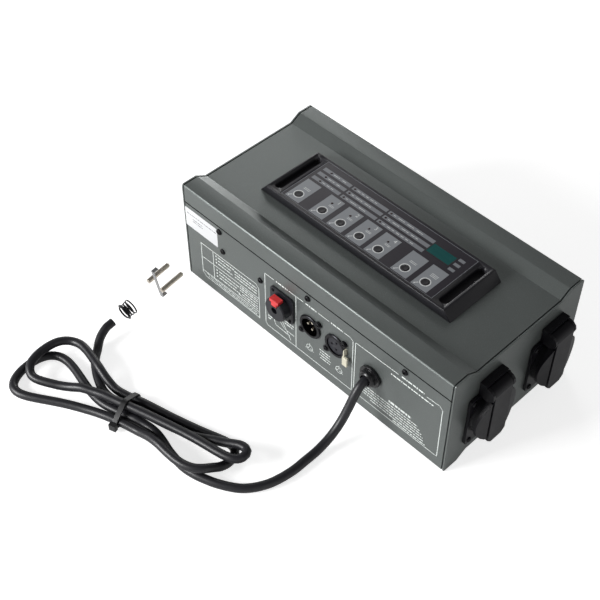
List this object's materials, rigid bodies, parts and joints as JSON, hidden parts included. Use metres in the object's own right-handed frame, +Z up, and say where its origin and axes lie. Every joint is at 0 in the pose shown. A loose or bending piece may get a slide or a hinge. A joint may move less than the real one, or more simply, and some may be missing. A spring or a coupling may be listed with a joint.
{
  "type": "dimmer pack",
  "caption": "Stage lighting dimmer pack: folded metal case, key panel and display on top, sprung-lid mains outlets on both ends, data and jack sockets in front, tied mains cord with plug.",
  "frame": {"origin": "middle of the underside of the case with its sockets, at the level that its foot rails stand on", "axes": "+X to the right end seen from the front, -Y out of the front panel with the connectors, +Z up"},
  "size_m": [0.3512, 0.383, 0.1162],
  "materials": {
    "housing_paint": "fine-textured metallic grey-green powder coat",
    "black_screw": "blackened",
    "panel_plastic": "satin moulded",
    "overlay_print": "printed film",
    "key_plastic": "satin",
    "display_window": "clear tinted",
    "outlet_plastic": "matt moulded",
    "steel": "bright",
    "contact_brass": "bright",
    "jack_plastic": "satin",
    "release_red": "satin",
    "connector_shell": "black",
    "contact_nickel": "bright",
    "insert_plastic": "matt",
    "latch_cream": "satin",
    "cord_jacket": "smooth",
    "plug_rubber": "satin",
    "board": "lacquered",
    "sink_aluminium": "extruded",
    "core_iron": "varnished"
  },
  "bodies": {
    "case": {"top_cover": "housing_paint", "base_tray": "housing_paint", "left_end_panel": "housing_paint", "right_end_panel": "housing_paint", "seam_screw_1": "black_screw", "seam_screw_2": "black_screw", "seam_screw_3": "black_screw", "control_housing": "panel_plastic", "key_overlay": "overlay_print", "display_window": "display_window", "control_board": "board", "outlet_right_front": "outlet_plastic", "hinge_pin_right_front": "steel", "lid_spring_right_front": "steel", "earth_clip_right_front": "contact_brass", "outlet_right_rear": "outlet_plastic", "hinge_pin_right_rear": "steel", "lid_spring_right_rear": "steel", "earth_clip_right_rear": "contact_brass", "outlet_left_front": "outlet_plastic", "hinge_pin_left_front": "steel", "lid_spring_left_front": "steel", "earth_clip_left_front": "contact_brass", "outlet_left_rear": "outlet_plastic", "hinge_pin_left_rear": "steel", "lid_spring_left_rear": "steel", "earth_clip_left_rear": "contact_brass", "jack_body": "jack_plastic", "dmx_in_shell": "connector_shell", "dmx_in_insert": "contact_nickel", "dmx_out_shell": "connector_shell", "dmx_out_insert": "insert_plastic", "cord_bushing": "cord_jacket", "supply_cord": "cord_jacket", "cord_hank": "cord_jacket", "plug_lead": "cord_jacket", "cord_tie": "panel_plastic", "plug_body": "plug_rubber", "plug_pin_left": "contact_nickel", "plug_pin_right": "contact_nickel", "plug_earth_strip": "steel", "fuse_holder": "jack_plastic", "fuse_cap": "jack_plastic", "power_board": "board", "heatsink": "sink_aluminium", "transformer": "core_iron", "terminal_block": "insert_plastic"},
    "lid_right_front_body": {"lid_right_front": "outlet_plastic"},
    "lid_right_rear_body": {"lid_right_rear": "outlet_plastic"},
    "lid_left_front_body": {"lid_left_front": "outlet_plastic"},
    "lid_left_rear_body": {"lid_left_rear": "outlet_plastic"},
    "key_1": {"button_1": "key_plastic"},
    "key_2": {"button_2": "key_plastic"},
    "key_3": {"button_3": "key_plastic"},
    "key_4": {"button_4": "key_plastic"},
    "key_5": {"button_5": "key_plastic"},
    "key_6": {"button_6": "key_plastic"},
    "key_7": {"button_7": "key_plastic"},
    "release_tab": {"jack_release_tab": "release_red"},
    "latch": {"dmx_out_latch": "latch_cream"}
  },
  "joints": [
    {"name": "lid_right_front_hinge", "type": "hinge", "parent": "case", "child": "lid_right_front_body", "pos_m": [0.1683, -0.0361, 0.0823], "axis": [0, -1, 0], "range_deg": [0, 100], "stiffness_Nm_per_rad": 0.02, "springref_deg": -34.38},
    {"name": "lid_right_rear_hinge", "type": "hinge", "parent": "case", "child": "lid_right_rear_body", "pos_m": [0.1683, 0.0428, 0.0823], "axis": [0, -1, 0], "range_deg": [0, 100], "stiffness_Nm_per_rad": 0.02, "springref_deg": -34.38},
    {"name": "lid_left_front_hinge", "type": "hinge", "parent": "case", "child": "lid_left_front_body", "pos_m": [-0.1683, -0.0361, 0.0823], "axis": [0, 1, 0], "range_deg": [0, 100], "stiffness_Nm_per_rad": 0.02, "springref_deg": -34.38},
    {"name": "lid_left_rear_hinge", "type": "hinge", "parent": "case", "child": "lid_left_rear_body", "pos_m": [-0.1683, 0.0428, 0.0823], "axis": [0, 1, 0], "range_deg": [0, 100], "stiffness_Nm_per_rad": 0.02, "springref_deg": -34.38},
    {"name": "button_1_press", "type": "slide", "parent": "case", "child": "key_1", "axis": [0, 0, -1], "range_m": [0, 0.0005], "stiffness_N_per_m": 400, "springref_m": -0.0005},
    {"name": "button_2_press", "type": "slide", "parent": "case", "child": "key_2", "axis": [0, 0, -1], "range_m": [0, 0.0005], "stiffness_N_per_m": 400, "springref_m": -0.0005},
    {"name": "button_3_press", "type": "slide", "parent": "case", "child": "key_3", "axis": [0, 0, -1], "range_m": [0, 0.0005], "stiffness_N_per_m": 400, "springref_m": -0.0005},
    {"name": "button_4_press", "type": "slide", "parent": "case", "child": "key_4", "axis": [0, 0, -1], "range_m": [0, 0.0005], "stiffness_N_per_m": 400, "springref_m": -0.0005},
    {"name": "button_5_press", "type": "slide", "parent": "case", "child": "key_5", "axis": [0, 0, -1], "range_m": [0, 0.0005], "stiffness_N_per_m": 400, "springref_m": -0.0005},
    {"name": "button_6_press", "type": "slide", "parent": "case", "child": "key_6", "axis": [0, 0, -1], "range_m": [0, 0.0005], "stiffness_N_per_m": 400, "springref_m": -0.0005},
    {"name": "button_7_press", "type": "slide", "parent": "case", "child": "key_7", "axis": [0, 0, -1], "range_m": [0, 0.0005], "stiffness_N_per_m": 400, "springref_m": -0.0005},
    {"name": "jack_release_press", "type": "slide", "parent": "case", "child": "release_tab", "axis": [0, 0, -1], "range_m": [0, 0.0012], "stiffness_N_per_m": 500, "springref_m": -0.0006},
    {"name": "dmx_latch_rock", "type": "hinge", "parent": "case", "child": "latch", "pos_m": [0.0461, -0.0824, 0.0552], "axis": [0, 0, 1], "range_deg": [0, 10], "stiffness_Nm_per_rad": 0.02, "springref_deg": -5.73}
  ]
}
